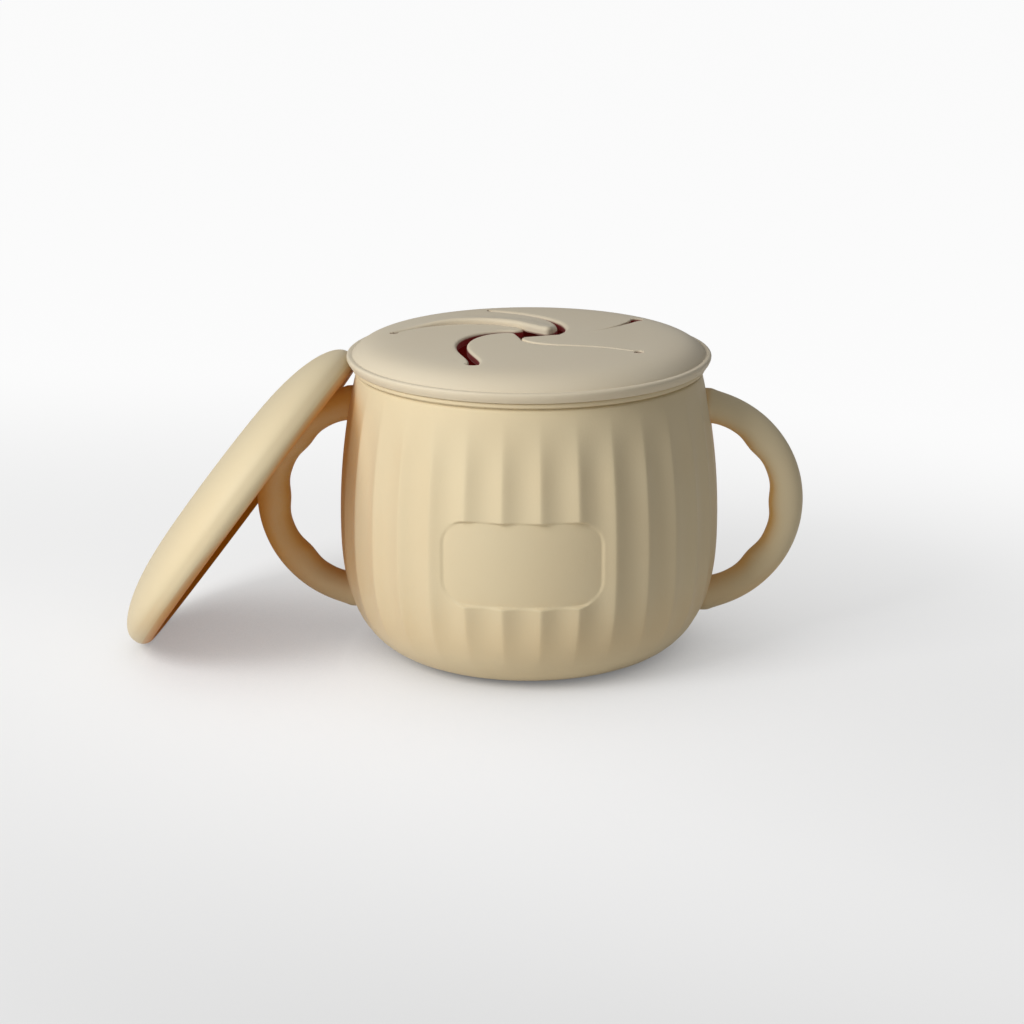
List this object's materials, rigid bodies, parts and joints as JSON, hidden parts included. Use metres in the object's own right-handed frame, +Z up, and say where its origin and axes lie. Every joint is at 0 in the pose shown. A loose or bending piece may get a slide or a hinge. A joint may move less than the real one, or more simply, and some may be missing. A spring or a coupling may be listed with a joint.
{
  "type": "toddler snack container",
  "caption": "Two-handled fluted silicone snack cup with a slit soft lid that a small hand reaches through, and a domed dust cover leaning beside it.",
  "frame": {"origin": "centre of the cup's foot, on the surface it stands on", "axes": "+Z up along the cup's axis, the handles along +X and -X, the badge facing -Y"},
  "size_m": [0.1657, 0.0912, 0.0783],
  "materials": {
    "cup_silicone": "matte",
    "lid_silicone": "matte",
    "cover_silicone": "matte"
  },
  "bodies": {
    "cup": {"cup_body": "cup_silicone", "left_handle": "cup_silicone", "right_handle": "cup_silicone"},
    "lid": {"snack_lid": "lid_silicone"},
    "front_flap": {"front_flap": "lid_silicone"},
    "right_flap": {"right_flap": "lid_silicone"},
    "back_right_flap": {"back_right_flap": "lid_silicone"},
    "back_left_flap": {"back_left_flap": "lid_silicone"},
    "front_left_flap": {"front_left_flap": "lid_silicone"},
    "cover": {"dust_cover": "cover_silicone"}
  },
  "joints": [
    {"name": "lid_lift", "type": "slide", "parent": "cup", "child": "lid", "axis": [0, 0, 1], "range_m": [0, 0.045]},
    {"name": "front_flap_bend", "type": "hinge", "parent": "lid", "child": "front_flap", "pos_m": [0.00741, -0.0208, 0.0758], "axis": [0.942, 0.3356, 0], "range_deg": [-65, 35], "stiffness_Nm_per_rad": 0.02},
    {"name": "right_flap_bend", "type": "hinge", "parent": "lid", "child": "right_flap", "pos_m": [0.02495, 0.00021, 0.0758], "axis": [-0.0084, 1, 0], "range_deg": [-65, 35], "stiffness_Nm_per_rad": 0.02},
    {"name": "back_right_flap_bend", "type": "hinge", "parent": "lid", "child": "back_right_flap", "pos_m": [0.0064, 0.02472, 0.0758], "axis": [-0.9681, 0.2505, 0], "range_deg": [-65, 35], "stiffness_Nm_per_rad": 0.02},
    {"name": "back_left_flap_bend", "type": "hinge", "parent": "lid", "child": "back_left_flap", "pos_m": [-0.02066, 0.01688, 0.0758], "axis": [-0.6327, -0.7744, 0], "range_deg": [-67.8, 32.2], "stiffness_Nm_per_rad": 0.02},
    {"name": "front_left_flap_bend", "type": "hinge", "parent": "lid", "child": "front_left_flap", "pos_m": [-0.02063, -0.01348, 0.0758], "axis": [0.547, -0.8371, 0], "range_deg": [-65, 35], "stiffness_Nm_per_rad": 0.02},
    {"name": "cover_take_away", "type": "slide", "parent": "cup", "child": "cover", "axis": [-0.8016, 0.0701, 0.5937], "range_m": [0, 0.045]}
  ]
}
